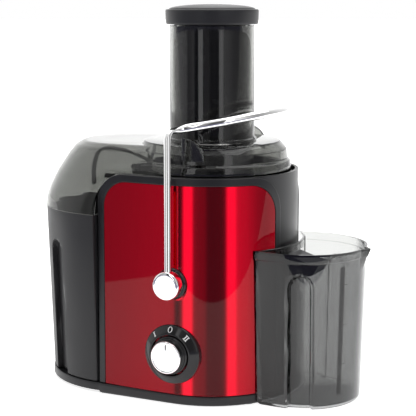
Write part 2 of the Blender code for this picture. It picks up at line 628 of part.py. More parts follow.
def pulp_bin():
    """The black pulp bin: half round, flat towards the housing, with a finger groove each side."""
    low, wall = BASE_TOP + GAP, 0.0025
    outer = [(0, BIN_TOP), (0.0920, BIN_TOP), (0.0860, low), (0, low)]
    made = turned("pulp_bin", outer, BLACK, bin_frame)
    inner = [(0, 0.19), (0.0920 - wall, 0.19), (0.0860 - wall, low + wall), (0, low + wall)]
    room = turned("bin_room", inner, None, bin_frame, cutter=True)
    flat = block("bin_flat", (0.0007, -0.11, 0), (0.11, 0.11, 0.20), None, bin_frame, cutter=True)
    flat_room = block("bin_flat_room", (0.0007 - wall, -0.12, 0), (0.12, 0.12, 0.21), None, bin_frame,
                      cutter=True)
    grips = [groove(f"bin_grip_{a}", 0.089, a, 0.023, -0.01, 0.144, 0.007, bin_frame)
             for a in (235, 125)]
    ribs = [groove(f"bin_rib_{a}", 0.089, a, 0.023 + 2 * wall, -0.02, 0.144 + wall, 0.007 + wall,
                   bin_frame) for a in (235, 125)]
    combine(room, [flat_room] + ribs)
    combine(made, [flat, room] + grips, solver="MANIFOLD")


def jug_sides(name, low, high, half_low, half_high):
    """The jug's straight sides from its round end towards the body, tapered like the round wall."""
    made = block(name, (-0.045, -half_high, low), (0.0015, half_high, high), None, jug_frame, cutter=True)
    for vertex in made.data.vertices:
        if vertex.co.z < 0:
            vertex.co.y *= half_low / half_high
    return made


def jug():
    """The smoky measuring jug: round end, straight sides, hollow towards the body, lip, window and grips."""
    outer = [(0, JUG_TOP), (JUG_TOP_R, JUG_TOP), (JUG_LOW_R, 0.002), (JUG_LOW_R - 0.002, 0), (0, 0)]
    made = turned("juice_jug", outer, SMOKY, jug_frame)
    sides = jug_sides("jug_sides", 0, JUG_TOP, JUG_LOW_R - 0.0001, JUG_TOP_R - 0.0001)
    combine(made, [sides], "UNION")
    inner = [(0, 0.16), (JUG_TOP_R - JUG_T, 0.16), (JUG_TOP_R - JUG_T, JUG_TOP - 0.001),
             (JUG_LOW_R - JUG_T, 0.003), (0, 0.003)]
    room = turned("jug_room", inner, None, jug_frame, cutter=True)
    sides_room = jug_sides("jug_sides_room", 0.003, 0.16, JUG_LOW_R - JUG_T, JUG_TOP_R - JUG_T + 0.0006)
    combine(room, [sides_room], "UNION")
    tip = JUG_TOP_R + 0.0065
    lip = [(tip, JUG_TOP), (0.0400, JUG_TOP), (0.0565, JUG_TOP - 0.020)]
    spread = [(0.0400, -0.016), (0.0580, -0.012), (tip, 0), (0.0580, 0.012), (0.0400, 0.016)]
    lip_outer = prism("lip_side", [lip], -0.02, 0.02, None, jug_frame, cutter=True, turn=FRONT)
    lip_plan = prism("lip_plan", [spread], 0.10, JUG_TOP, None, jug_frame, cutter=True)
    combine(lip_outer, [lip_plan], "INTERSECT")
    pour = [(tip - 0.0035, 0.16), (tip - 0.0035, JUG_TOP), (0.0535, JUG_TOP - 0.016), (0.0400, 0.16)]
    pour_side = prism("pour_side", [pour], -0.02, 0.02, None, jug_frame, cutter=True, turn=FRONT)
    pour_plan = prism("pour_plan", [[(0.040, -0.0125), (0.0565, -0.0090), (tip - 0.0035, 0),
                                     (0.0565, 0.0090), (0.040, 0.0125)]], 0.10, 0.17, None, jug_frame,
                      cutter=True)
    combine(pour_side, [pour_plan], "INTERSECT")
    hollow = turned("jug_hollow", ring(JUG_BACK_R, 0, -0.01, 0.18), None, jug_frame,
                    at=(-JUG_X, 0, 0), cutter=True)
    hollow_room = turned("jug_hollow_room", ring(JUG_BACK_R + JUG_T, 0, -0.02, 0.19), None, jug_frame,
                         at=(-JUG_X, 0, 0), cutter=True)
    window = block("jug_window", (-0.030, -0.0190, 0.1120), (0.004, 0.0190, 0.1400), None, jug_frame,
                   cutter=True)
    grips = [groove(f"jug_grip_{a}", 0.057, a, 0.022, -0.01, 0.127, 0.005, jug_frame)
             for a in (-74, 74)]
    ribs = [groove(f"jug_rib_{a}", 0.057, a, 0.022 + 2 * JUG_T, -0.02, 0.127 + JUG_T, 0.005 + JUG_T,
                   jug_frame) for a in (-74, 74)]
    combine(room, [hollow_room] + ribs)
    combine(made, [lip_outer], "UNION")
    combine(made, [hollow, room, pour_side, window] + grips, solver="MANIFOLD")


base_and_feet()
housing_and_fascia()
dial()
bail()
motor()
chamber()
lid()
pusher()
pulp_bin()
jug()
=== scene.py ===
"""The looks of the centrifugal juicer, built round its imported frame. Metres, +Z up, front at -Y."""
import json
import math

import bmesh
import bpy
import numpy as np
from mathutils import Matrix, Vector


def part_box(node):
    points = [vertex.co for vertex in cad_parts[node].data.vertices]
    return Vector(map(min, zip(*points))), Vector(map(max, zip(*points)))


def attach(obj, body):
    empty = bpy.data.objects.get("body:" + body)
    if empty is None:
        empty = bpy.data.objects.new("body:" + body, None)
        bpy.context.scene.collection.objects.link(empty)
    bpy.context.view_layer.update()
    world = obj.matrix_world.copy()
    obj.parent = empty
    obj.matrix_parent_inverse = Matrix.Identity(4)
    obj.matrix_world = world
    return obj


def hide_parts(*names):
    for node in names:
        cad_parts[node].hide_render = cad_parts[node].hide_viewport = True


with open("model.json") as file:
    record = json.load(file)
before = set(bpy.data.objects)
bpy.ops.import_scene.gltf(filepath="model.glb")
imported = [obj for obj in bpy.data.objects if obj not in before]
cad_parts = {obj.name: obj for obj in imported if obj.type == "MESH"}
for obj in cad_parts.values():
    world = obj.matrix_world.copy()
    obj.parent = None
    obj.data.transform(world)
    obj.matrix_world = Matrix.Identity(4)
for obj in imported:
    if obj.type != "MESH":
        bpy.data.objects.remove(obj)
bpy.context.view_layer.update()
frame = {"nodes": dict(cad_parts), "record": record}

# --- places read from the frame ---
pusher_low, pusher_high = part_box("pusher_body")
cap_low, cap_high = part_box("pusher_cap")
tray_low, tray_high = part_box("base_tray")
frame_low, frame_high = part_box("front_frame")
bin_low, bin_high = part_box("pulp_bin")
jug_low, jug_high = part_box("juice_jug")
bezel_low, bezel_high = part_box("dial_bezel")
knob_low, knob_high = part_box("speed_knob")
hub_low, hub_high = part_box("bail_hub_front")
washer_low, washer_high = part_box("hub_washer_front")
pin_low, pin_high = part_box("pivot_pin_front")
housing_low, housing_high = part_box("motor_housing")

AXIS = (pusher_low[0] + pusher_high[0]) / 2            # the drive axis
BODY_R = tray_high[0] - AXIS                           # face of the red panel and of the base
BIN_X = tray_low[0] + BODY_R                           # centre of the round left end
HUB_Z = (hub_low[2] + hub_high[2]) / 2
DIAL_Z = (bezel_low[2] + bezel_high[2]) / 2
HUB = (AXIS, 0, HUB_Z)
DIAL = (AXIS, 0, DIAL_Z)
ARM_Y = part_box("bail_rod")[0][1] + 0.0047              # the bail's front arm
FACE_TOP = frame_high[2]
FACE_LOW = frame_low[2]
FACE_LEFT = frame_low[0] - AXIS
FRONT_CROWN = 0.0034                                   # fall of the front at its left edge
SKIN = 0.003
GAP = 0.0003
BORDER = 0.007
CORNER_R = 0.028
LID_LOW = 0.2135                                       # where the lid's crown starts, and its top
LID_TOP = 0.2430
LID_T = 0.0025
CROWN_R = 0.0780
HOOD_TOP = 0.2400
CHUTE_R = 0.0415
CHUTE_BORE = 0.0385
PUSHER_R = (pusher_high[0] - pusher_low[0]) / 2
CAP_R = (cap_high[0] - cap_low[0]) / 2
JUG_X = AXIS + 0.098
JUG_T = 0.0022
JUG_RIM = jug_high[2] + 0.0025                         # its moulded rim stands a little over the plain wall
JUG_BACK = (-math.sin(math.radians(25)), math.cos(math.radians(25)), 0)      # the way the jug's tint clears
JUG_DEPTH = JUG_X * JUG_BACK[0]                        # the jug's middle, measured that way
FINE = 128
COARSE = 32


# --- materials ---
def wire(tree, node, inputs):
    """Feed a node's inputs with other nodes' outputs or with plain values."""
    for key, value in inputs.items():
        if isinstance(value, bpy.types.NodeSocket):
            tree.links.new(value, node.inputs[key])
        else:
            node.inputs[key].default_value = value


def put(tree, kind, inputs=None, **settings):
    """Add a shader node with its settings and inputs."""
    node = tree.nodes.new("ShaderNode" + kind)
    for name, value in settings.items():
        setattr(node, name, value)
    wire(tree, node, inputs or {})
    return node


def combined(tree, operation, a, b):
    """One number from two."""
    return put(tree, "Math", {0: a, 1: b}, operation=operation).outputs["Value"]


def dot(tree, place, way):
    """How far a place lies along a direction."""
    return put(tree, "VectorMath", {0: place, 1: way}, operation="DOT_PRODUCT").outputs["Value"]


def ranged(tree, value, start, end, low=0.0, high=1.0):
    """Map a number's range from start to end onto low to high."""
    inputs = {"Value": value, "From Min": start, "From Max": end, "To Min": low, "To Max": high}
    return put(tree, "MapRange", inputs).outputs["Result"]


def blended(tree, share, a, b):
    """Blend two colours by a share."""
    return put(tree, "Mix", {"Factor": share, "A": a, "B": b}, data_type="RGBA").outputs["Result"]


def noise(tree, place, scale, detail=3.0, stretch=(1, 1, 1)):
    """A noise pattern, finer along an axis with a larger stretch."""
    mapping = put(tree, "Mapping", {"Vector": place, "Scale": stretch})
    inputs = {"Vector": mapping.outputs["Vector"], "Scale": scale, "Detail": detail}
    return put(tree, "TexNoise", inputs).outputs["Fac"]


def spread(tree, pattern, low, high):
    """Map a pattern to a range."""
    return ranged(tree, pattern, 0.3, 0.7, low, high)


def tint(tree, pattern, dark, light):
    """Blend two colours by a pattern."""
    ramp = put(tree, "ValToRGB", {"Fac": pattern})
    for stop, position, colour in zip(ramp.color_ramp.elements, (0.3, 0.7), (dark, light)):
        stop.position = position
        stop.color = (*colour, 1)
    return ramp.outputs["Color"]


def bump(tree, shader, pattern, strength, depth):
    """Raise a pattern on the surface."""
    made = put(tree, "Bump", {"Strength": strength, "Distance": depth, "Height": pattern})
    wire(tree, shader, {"Normal": made.outputs["Normal"]})


def new_material(name):
    """A material with its tree, its Principled shader and an object-space coordinate to pattern it by."""
    made = bpy.data.materials.new(name)
    made.use_nodes = True
    tree = made.node_tree
    return made, tree, tree.nodes["Principled BSDF"], put(tree, "TexCoord").outputs["Object"]


def moulded(name, dark, light, rough_low, rough_high, grain=2600.0, strength=0.12):
    """Moulded plastic: a fine spark-eroded grain with slow changes of tone and gloss."""
    made, tree, shader, place = new_material(name)
    slow = noise(tree, place, 28.0)
    wire(tree, shader, {"Base Color": tint(tree, slow, dark, light),
                        "Roughness": spread(tree, slow, rough_low, rough_high), "Specular IOR Level": 0.36})
    if strength:
        bump(tree, shader, noise(tree, place, grain, 2.0), strength, 0.0001)
    return made


def lifted_normal(tree, lift):
    """The surface's normal, and the same leaned upwards."""
    surface = put(tree, "NewGeometry").outputs["Normal"]
    leaned = put(tree, "VectorMath", {0: surface, 1: (0, 0, lift)}, operation="ADD").outputs["Vector"]
    return surface, put(tree, "VectorMath", {0: leaned}, operation="NORMALIZE").outputs["Vector"]


def candy_red():
    """Candy lacquer over polished metal: the metal's grain throws its light upwards, the coat mirrors."""
    made, tree, shader, place = new_material("candy_red")
    brushed = noise(tree, place, 60.0, 4.0, stretch=(40, 40, 0.6))
    slow = noise(tree, place, 9.0)
    surface, leaned = lifted_normal(tree, 0.23)
    wire(tree, shader, {"Base Color": tint(tree, brushed, (0.55, 0.0010, 0.014), (0.61, 0.0014, 0.017)),
                        "Roughness": spread(tree, slow, 0.11, 0.13), "Metallic": 1.0, "Normal": leaned,
                        "Coat Weight": 1.0, "Coat IOR": 1.27, "Coat Roughness": 0.02,
                        "Coat Normal": surface})
    return made


def plated(name, colour, rough_low, rough_high, lift=0.0):
    """Bright plating with faint handling haze; lift leans its mirror upwards."""
    made, tree, shader, place = new_material(name)
    haze = noise(tree, place, 55.0, 5.0)
    light = tuple(min(1.0, c * 1.06) for c in colour)
    wire(tree, shader, {"Base Color": tint(tree, haze, colour, light),
                        "Roughness": spread(tree, haze, rough_low, rough_high), "Metallic": 1.0})
    if lift:
        wire(tree, shader, {"Normal": lifted_normal(tree, lift)[1]})
    return made


def smoky(name, dark, light, clearer=None, rim=None):
    """Clear smoky plastic, polished; clearer is its tint on the side away from the front, rim a height
    above which the wall's edge looks nearly black."""
    made, tree, shader, place = new_material(name)
    slow = noise(tree, place, 14.0, 2.0)
    colour = tint(tree, slow, dark, light)
    if rim:
        height = put(tree, "SeparateXYZ", {"Vector": place}).outputs["Z"]
        colour = blended(tree, ranged(tree, height, rim, rim + 0.0003), colour, (0.012, 0.012, 0.013, 1))
    if clearer:
        share = ranged(tree, dot(tree, place, JUG_BACK), JUG_DEPTH + 0.010, JUG_DEPTH + 0.026)
        colour = blended(tree, share, colour, (*clearer, 1))
    wire(tree, shader, {"Base Color": colour, "Roughness": spread(tree, slow, 0.0, 0.03),
                        "Transmission Weight": 1.0, "IOR": 1.45})
    bump(tree, shader, slow, 0.03, 0.0004)
    rays = put(tree, "LightPath").outputs
    indirect = combined(tree, "MAXIMUM", rays["Is Shadow Ray"], rays["Is Diffuse Ray"])
    straight = put(tree, "BsdfTransparent", {"Color": (0.6, 0.6, 0.6, 1)}).outputs["BSDF"]
    both = put(tree, "MixShader", {0: indirect, 1: shader.outputs["BSDF"], 2: straight})
    wire(tree, tree.nodes["Material Output"], {"Surface": both.outputs["Shader"]})
    return made


def brushed_steel():
    """Steel with fine brushing."""
    made, tree, shader, place = new_material("brushed_steel")
    lines = noise(tree, place, 90.0, 4.0, stretch=(30, 30, 1))
    wire(tree, shader, {"Base Color": tint(tree, lines, (0.42, 0.42, 0.42), (0.60, 0.60, 0.59)),
                        "Roughness": spread(tree, lines, 0.22, 0.38), "Metallic": 1.0})
    bump(tree, shader, lines, 0.1, 0.0001)
    return made


def perforated_steel():
    """Sieve steel: rows of small dark holes in bright sheet."""
    made, tree, shader, place = new_material("sieve_steel")
    cells = put(tree, "TexVoronoi", {"Vector": place, "Scale": 620.0, "Randomness": 0.15})
    sheet = combined(tree, "GREATER_THAN", cells.outputs["Distance"], 0.32)
    wire(tree, shader, {"Base Color": tint(tree, sheet, (0.03, 0.03, 0.03), (0.62, 0.62, 0.60)),
                        "Metallic": 1.0, "Roughness": 0.3})
    bump(tree, shader, sheet, 0.5, 0.0002)
    return made


def wound():
    """Copper windings: close turns of lacquered wire."""
    made, tree, shader, place = new_material("copper_winding")
    waves = put(tree, "TexWave", {"Vector": place, "Scale": 320.0}, bands_direction="Z")
    turns = waves.outputs["Fac"]
    wire(tree, shader, {"Base Color": tint(tree, turns, (0.30, 0.11, 0.05), (0.66, 0.30, 0.14)),
                        "Metallic": 1.0, "Roughness": 0.35})
    bump(tree, shader, turns, 0.6, 0.0003)
    return made


BLACK = moulded("satin_black", (0.0115, 0.0115, 0.0135), (0.0150, 0.0150, 0.0170), 0.30, 0.38)
BIN_BLACK = moulded("bin_black", (0.0120, 0.0120, 0.0135), (0.0155, 0.0155, 0.0170), 0.40, 0.50)
GLOSS_BLACK = moulded("gloss_black", (0.010, 0.010, 0.011), (0.014, 0.014, 0.015), 0.10, 0.14, 900.0, 0.02)
CHARCOAL = moulded("charcoal", (0.0165, 0.0165, 0.0185), (0.0210, 0.0210, 0.0230), 0.36, 0.44)
PUSHER_BLACK = moulded("pusher_black", (0.0120, 0.0120, 0.0140), (0.0150, 0.0150, 0.0170), 0.24, 0.30,
                       strength=0)
RUBBER = moulded("rubber", (0.010, 0.010, 0.010), (0.018, 0.018, 0.018), 0.70, 0.85, 1800.0, 0.3)
WHITE_MARK = moulded("white_mark", (0.72, 0.72, 0.72), (0.80, 0.80, 0.80), 0.40, 0.50)
GREY_MARK = moulded("grey_mark", (0.30, 0.30, 0.29), (0.36, 0.36, 0.35), 0.40, 0.50)
BOARD = moulded("circuit_board", (0.010, 0.09, 0.030), (0.016, 0.14, 0.045), 0.35, 0.45, 700.0, 0.2)
RED = candy_red()
CHROME = plated("chrome", (0.86, 0.86, 0.87), 0.03, 0.07)
ROD_CHROME = plated("rod_chrome", (0.90, 0.90, 0.90), 0.03, 0.05, lift=0.14)
STEEL = brushed_steel()
SIEVE = perforated_steel()
COPPER = wound()
SMOKE_LID = smoky("smoke_lid", (0.29, 0.295, 0.28), (0.34, 0.345, 0.33))
SMOKE_JUG = smoky("smoke_jug", (0.165, 0.167, 0.168), (0.195, 0.197, 0.198), (0.56, 0.565, 0.555),
                  rim=JUG_RIM - 0.0022)
SMOKE_RIB = smoky("smoke_rib", (0.05, 0.05, 0.05), (0.08, 0.08, 0.08))
# Pale smoky plastic for the rods laid along the lid's lugs: a painted highlight on the lugs' edges.
SMOKE_HIGHLIGHT = smoky("smoke_painted_highlight", (0.66, 0.66, 0.65), (0.74, 0.74, 0.73))


# --- shape helpers ---
def finish_mesh(name, verts, faces):
    """A mesh from points and faces, with its normals facing out."""
    mesh = bpy.data.meshes.new(name)
    mesh.from_pydata([tuple(v) for v in verts], [], faces)
    bm = bmesh.new()
    bm.from_mesh(mesh)
    bmesh.ops.remove_doubles(bm, verts=bm.verts, dist=0.000005)
    bmesh.ops.recalc_face_normals(bm, faces=bm.faces)
    bm.to_mesh(mesh)
    bm.free()
    return mesh


def smooth(obj, angle=32):
    """Smooth shading between the sharp edges."""
    obj.data.shade_smooth()
    obj.data.set_sharp_from_angle(angle=math.radians(angle))
    return obj


def add(name, mesh, finish, body=None, nodes=()):
    """Link a mesh as a piece that rides on a body and stands for CAD nodes."""
    obj = bpy.data.objects.new(name, mesh)
    bpy.context.scene.collection.objects.link(obj)
    mesh.materials.clear()
    mesh.materials.append(finish)
    if body:
        smooth(obj)
        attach(obj, body)
    if nodes:
        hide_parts(*nodes)
    return obj


def fillet(points, radius, steps=5, closed=False):
    """Round the corners of a polyline of (radius, height) points."""
    rounded = []
    count = len(points)
    for i, (x, y) in enumerate(points):
        if not closed and i in (0, count - 1):
            rounded.append((x, y))
            continue
        here = Vector((x, y))
        back = Vector(points[i - 1]) - here
        ahead = Vector(points[(i + 1) % count]) - here
        reach = min(radius, back.length * 0.45, ahead.length * 0.45)
        if reach < 1e-6 or back.angle(ahead) > math.radians(177):
            rounded.append((x, y))
            continue
        start = here + back.normalized() * reach
        end = here + ahead.normalized() * reach
        for k in range(steps + 1):
            t = k / steps
            spot = start * (1 - t) ** 2 + here * 2 * t * (1 - t) + end * t ** 2
            rounded.append((spot.x, spot.y))
    return rounded


def revolve(profile, steps=FINE, closed=False):
    """Points and faces of a profile turned about Z; an open profile starts and ends on the axis."""
    verts, faces = [], []
    for r, z in profile:
        for k in range(steps):
            angle = 2 * math.pi * k / steps
            verts.append((r * math.cos(angle), r * math.sin(angle), z))
    rows = len(profile)
    for i in range(rows if closed else rows - 1):
        a, b = i * steps, (i + 1) % rows * steps
        for k in range(steps):
            n = (k + 1) % steps
            faces.append((a + k, a + n, b + n, b + k))
    return verts, faces


TO_FRONT = Matrix.Rotation(math.radians(90), 4, "X")
TO_REAR = Matrix.Rotation(math.radians(-90), 4, "X")


def turned(name, profile, at=(AXIS, 0, 0), turn=None, closed=False, steps=FINE):
    """A turned mesh, placed in the frame; it stands on the drive axis if no other place is given."""
    verts, faces = revolve(profile, steps, closed)
    mesh = finish_mesh(name, verts, faces)
    if turn is not None:
        mesh.transform(turn)
    mesh.transform(Matrix.Translation(at))
    return mesh


def loft(name, rings, cyclic=False):
    """A closed mesh from rings of equal length: capped at its ends, or joined last to first."""
    count = len(rings[0])
    verts = [p for ring in rings for p in ring]
    faces = []
    for i in range(len(rings) if cyclic else len(rings) - 1):
        a, b = i * count, (i + 1) % len(rings) * count
        faces += [(a + k, a + (k + 1) % count, b + (k + 1) % count, b + k) for k in range(count)]
    if not cyclic:
        faces.append(tuple(reversed(range(count))))
        faces.append(tuple((len(rings) - 1) * count + k for k in range(count)))
    return finish_mesh(name, verts, faces)


def bevelled(obj, width, segments=3, angle=40):
    """Round the piece's sharp edges."""
    bevel = obj.modifiers.new("soft_edges", "BEVEL")
    bevel.width = width
    bevel.segments = segments
    bevel.limit_method = "ANGLE"
    bevel.angle_limit = math.radians(angle)
    return obj


def carve(mesh, steps):
    """Apply Booleans in turn: steps are (operation, mesh) pairs."""
    work = bpy.data.objects.new("work", mesh)
    bpy.context.scene.collection.objects.link(work)
    tools = []
    for operation, other in steps:
        tool = bpy.data.objects.new("tool", other)
        bpy.context.scene.collection.objects.link(tool)
        tools.append(tool)
        boolean = work.modifiers.new("carve", "BOOLEAN")
        boolean.operation = operation
        boolean.solver = "MANIFOLD"
        boolean.object = tool
    depsgraph = bpy.context.evaluated_depsgraph_get()
    result = bpy.data.meshes.new_from_object(work.evaluated_get(depsgraph))
    for obj in tools + [work]:
        bpy.data.objects.remove(obj)
    bm = bmesh.new()
    bm.from_mesh(result)
    bmesh.ops.remove_doubles(bm, verts=bm.verts, dist=0.00001)
    bmesh.ops.dissolve_degenerate(bm, edges=bm.edges, dist=0.00001)
    bm.to_mesh(result)
    bm.free()
    return result


def cut(mesh, *tools):
    """A mesh with others cut away from it."""
    return carve(mesh, [("DIFFERENCE", tool) for tool in tools])


def rod(radius, near, far, at=(AXIS, 0, 0), turn=None, steps=COARSE):
    """A plain cylinder between two places on its axis, for carving."""
    return turned("rod", [(0, far), (radius, far), (radius, near), (0, near)], at, turn, steps=steps)


def slab(name, low, high):
    """A box between two corners, for carving."""
    bm = bmesh.new()
    bmesh.ops.create_cube(bm, size=1)
    bmesh.ops.scale(bm, vec=[b - a for a, b in zip(low, high)], verts=bm.verts)
    bmesh.ops.translate(bm, vec=[(a + b) / 2 for a, b in zip(low, high)], verts=bm.verts)
    mesh = bpy.data.meshes.new(name)
    bm.to_mesh(mesh)
    bm.free()
    return mesh


def upright(name, outline, low, high):
    """A plan outline raised between two heights."""
    return loft(name, [[(x, y, low) for x, y in outline], [(x, y, high) for x, y in outline]])


def sideways(name, outline, y_low, y_high):
    """An (x, z) outline extended along Y."""
    return loft(name, [[(x, y_low, z) for x, z in outline], [(x, y_high, z) for x, z in outline]])


def tube_mesh(name, points, radii, sides=20):
    """A round rod along a route, as a mesh with closed ends."""
    path = [Vector(p) for p in points]
    across = Vector((1, 0, 0))
    rings = []
    for i, spot in enumerate(path):
        ahead = (path[min(i + 1, len(path) - 1)] - path[max(i - 1, 0)]).normalized()
        across = (across - ahead * across.dot(ahead)).normalized()
        other = ahead.cross(across)
        rings.append([tuple(spot + (across * math.cos(2 * math.pi * k / sides)
                                    + other * math.sin(2 * math.pi * k / sides)) * radii[i])
                      for k in range(sides)])
    return loft(name, rings)


def smooth_route(points, per):
    """A Catmull-Rom curve through (x, z) points."""
    ends = [points[0]] + list(points) + [points[-1]]
    made = []
    for a, b, c, d in zip(ends, ends[1:], ends[2:], ends[3:]):
        for k in range(per):
            t = k / per
            made.append(tuple(0.5 * (2 * q + (r - p) * t + (2 * p - 5 * q + 4 * r - s) * t * t
                                     + (3 * q - p - 3 * r + s) * t ** 3) for p, q, r, s in zip(a, b, c, d)))
    made.append(points[-1])
    return made


def arc(cx, cy, radius, start, end, steps):
    """Points on an arc, angles in degrees."""
    angles = [math.radians(start + (end - start) * i / steps) for i in range(steps + 1)]
    return [(cx + radius * math.cos(a), cy + radius * math.sin(a)) for a in angles]


def contour(s, offset=0.0):
    """A point on the machine's front, s metres round from the drive axis, offset outwards."""
    radius = BODY_R + offset
    if s <= 0:
        fall = FRONT_CROWN * (s / FACE_LEFT) ** 2
        return AXIS + s, -(radius - fall)
    angle = s / BODY_R - math.pi / 2
    return AXIS + radius * math.cos(angle), radius * math.sin(angle)


def body_outline(offset, left, steps=48):
    """The housing's plan: crowned front, round right side, crowned back and flat left side."""
    half = [contour(left * (1 - i / 16), offset) for i in range(16)]
    half += [contour(BODY_R * math.pi / 2 * i / steps, offset) for i in range(steps + 1)]
    return half + [(x, -y) for x, y in reversed(half[:-1])]


# --- base and housing ---
def base():
    """The base moulding: the machine's plinth, stepping in slightly where it becomes the bin's tray."""
    step_in = 0.0012

    def outline(offset):
        right = arc(AXIS, 0, BODY_R + offset, -90, 90, 64)
        left = arc(BIN_X, 0, BODY_R + offset - step_in, 90, 270, 64)
        step = FACE_LEFT + AXIS + 0.004
        back = [(step, BODY_R + offset), (step - 0.003, BODY_R + offset - step_in)]
        front = [(x, -y) for x, y in reversed(back)]
        return right + back + left + front
    low, high = tray_low[2], tray_high[2]
    skirt = low - 0.0022
    levels = [(-0.0060, low), (-0.0056, skirt), (-0.0012, skirt), (-0.0003, skirt + 0.0008),
              (0, skirt + 0.0018), (0, high - 0.0016), (-0.0003, high - 0.0006), (-0.0010, high)]
    rings = [[(x, y, z) for x, y in outline(offset)] for offset, z in levels]
    body = loft("base", rings)
    hole = rod(0.058, 0, 0.03, steps=FINE)
    cover_low, cover_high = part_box("bottom_cover")
    recess_r = (cover_high[0] - cover_low[0]) / 2 + GAP
    recess = rod(recess_r, 0, cover_high[2] + GAP, steps=FINE)
    tray_end = (AXIS + FACE_LEFT + 0.001, 0.12, low - 0.0002)
    under_tray = slab("under_tray", (AXIS - 0.2, -0.12, -0.01), tray_end)
    add("base_moulding", cut(body, hole, recess, under_tray), BLACK, "root", ["base_tray"])


def housing():
    """The motor housing: a deep shell with cheeks, a deck, and a slot for the spout."""
    left = housing_low[0] - AXIS
    low, top = housing_low[2], housing_high[2]
    deck = 0.127                    # underside of the deck that carries the bowl
    outer = body_outline(-SKIN - GAP, left)
    inner = body_outline(-2 * SKIN - GAP, left + SKIN)
    shell = upright("housing", outer, low, top)
    corner = [(AXIS - 0.09, top - CORNER_R)]
    corner += arc(AXIS + left + CORNER_R, top - CORNER_R, CORNER_R, 180, 90, 16)
    corner += [(AXIS + left + CORNER_R, top + 0.02), (AXIS - 0.09, top + 0.02)]
    tools = [upright("room", inner, -0.01, deck),
             upright("bowl_room", inner, deck + SKIN, 0.3),
             slab("exit", (AXIS - 0.1, -0.0820, deck + SKIN), (AXIS - 0.07, 0.0820, 0.3)),
             sideways("corner", corner, -0.12, 0.12),
             rod(0.0135, 0.1, 0.2, steps=48),
             slab("spout_slot", (AXIS + 0.07, -0.017, 0.116), (AXIS + 0.1, 0.017, 0.144))]
    for radius, at, turn in ((0.0044, HUB, TO_FRONT), (0.0044, HUB, TO_REAR), (0.0036, DIAL, TO_FRONT)):
        tools.append(rod(radius, 0.055, 0.12, at, turn))
    shell = add("housing_shell", cut(shell, *tools), BLACK, "root", ["motor_housing"])
    bevelled(shell, 0.0008, 2, 50)


def stations(inset, columns=56, corner_steps=14, reach=72):
    """Stations up the left, over the top and down the right of the fascia, as (s, height)."""
    left = FACE_LEFT + inset
    right = math.radians(reach) * BODY_R - inset
    top = FACE_TOP - inset
    corner_left = CORNER_R - inset / 2
    corner_right = CORNER_R + 0.004 - inset / 2
    made = [(left, FACE_LOW + (top - corner_left - FACE_LOW) * i / 6) for i in range(7)]
    made += arc(left + corner_left, top - corner_left, corner_left, 180, 90, corner_steps)[1:]
    start, end = left + corner_left, right - corner_right
    made += [(start + (end - start) * i / columns, top) for i in range(1, columns)]
    made += arc(right - corner_right, top - corner_right, corner_right, 90, 0, corner_steps)
    made += [(right, FACE_LOW + (top - corner_right - FACE_LOW) * i / 6) for i in range(5, -1, -1)]
    return made


def bent_skin(name, row_a, row_b, offset_a, offset_b, depth, side=-1):
    """A closed skin between two rows of (s, height) stations, bent round the front or the back."""
    def point(s, z, offset):
        x, y = contour(s, offset)
        return x, (y if side < 0 else -y), z
    front_a = [point(s, z, offset_a) for s, z in row_a]
    front_b = [point(s, z, offset_b) for s, z in row_b]
    back_a = [point(s, z, -depth) for s, z in row_a]
    back_b = [point(s, z, -depth) for s, z in row_b]
    rings = [[a, b, d, c] for a, b, c, d in zip(front_a, front_b, back_a, back_b)]
    return loft(name, rings)


def fascia():
    """The black front frame, the red panel that it borders, and the vented rear panel."""
    outer, face = stations(0), stations(BORDER)
    black = add("fascia_frame", bent_skin("fascia_frame", outer, face, 0.0002, 0.0006, SKIN), BLACK, "root",
                ["front_frame"])
    bevelled(black, 0.0007)
    inset = stations(BORDER + GAP)
    edge = 6                        # stations on each upright edge
    top_row = inset[edge:-edge]
    low_row = [(s, FACE_LOW + GAP) for s, z in top_row]
    holes = [rod(radius, 0.06, 0.1, at, TO_FRONT) for radius, at in ((0.0046, HUB), (0.0120, DIAL))]
    red = add("red_fascia", cut(bent_skin("panel", top_row, low_row, 0.0, 0.0, SKIN), *holes), RED, "root",
              ["front_panel"])
    bevelled(red, 0.0005)
    whole = stations(0, reach=56)
    top_row = whole[edge:-edge]
    low_row = [(s, FACE_LOW + GAP) for s, z in top_row]
    gland = (AXIS - 0.045, 0, 0.030)
    holes = [rod(radius, 0.06, 0.1, at, TO_REAR) for radius, at in ((0.0046, HUB), (0.0056, gland))]
    for i in range(5):
        z = 0.030 + 0.009 * i
        holes.append(slab("vent", (AXIS - 0.030, 0.08, z), (AXIS + 0.030, 0.1, z + 0.004)))
    back = add("rear_fascia", cut(bent_skin("rear", top_row, low_row, 0.0, 0.0, SKIN, side=1), *holes),
               BLACK, "root", ["rear_panel"])
    bevelled(back, 0.0006)


def behind_face(offset):
    """The space behind the fascia's face, for trimming what is seated on it."""
    return upright("behind", body_outline(offset, FACE_LEFT), 0.0, 0.21)


# --- dial ---
def on_dial(angle, radius, height=0.0):
    """A matrix that stands a flat mark on the bezel's cone at an angle from the top."""
    cone = math.atan2(0.0050, 0.0088)        # the bezel's face falls 5 mm over 8.8 mm
    lift = 0.0950 - (radius - 0.0195) * math.tan(cone) * 0.96 + height
    spin = Matrix.Rotation(-angle, 4, "Y")
    lean = Matrix.Rotation(-cone, 4, "X")
    return (Matrix.Translation((AXIS, 0, DIAL_Z)) @ spin @ Matrix.Translation((0, -lift, radius)) @ lean)


def bar(width, height, x=0.0, z=0.0, depth=0.0003):
    """A thin upright bar, facing the front."""
    half = Vector((width, depth, height)) / 2
    return slab("bar", Vector((x, 0, z)) - half, Vector((x, 0, z)) + half)


def merge(meshes, name):
    """Put several meshes into one."""
    bm = bmesh.new()
    for mesh in meshes:
        bm.from_mesh(mesh)
    made = bpy.data.meshes.new(name)
    bm.to_mesh(made)
    bm.free()
    return made


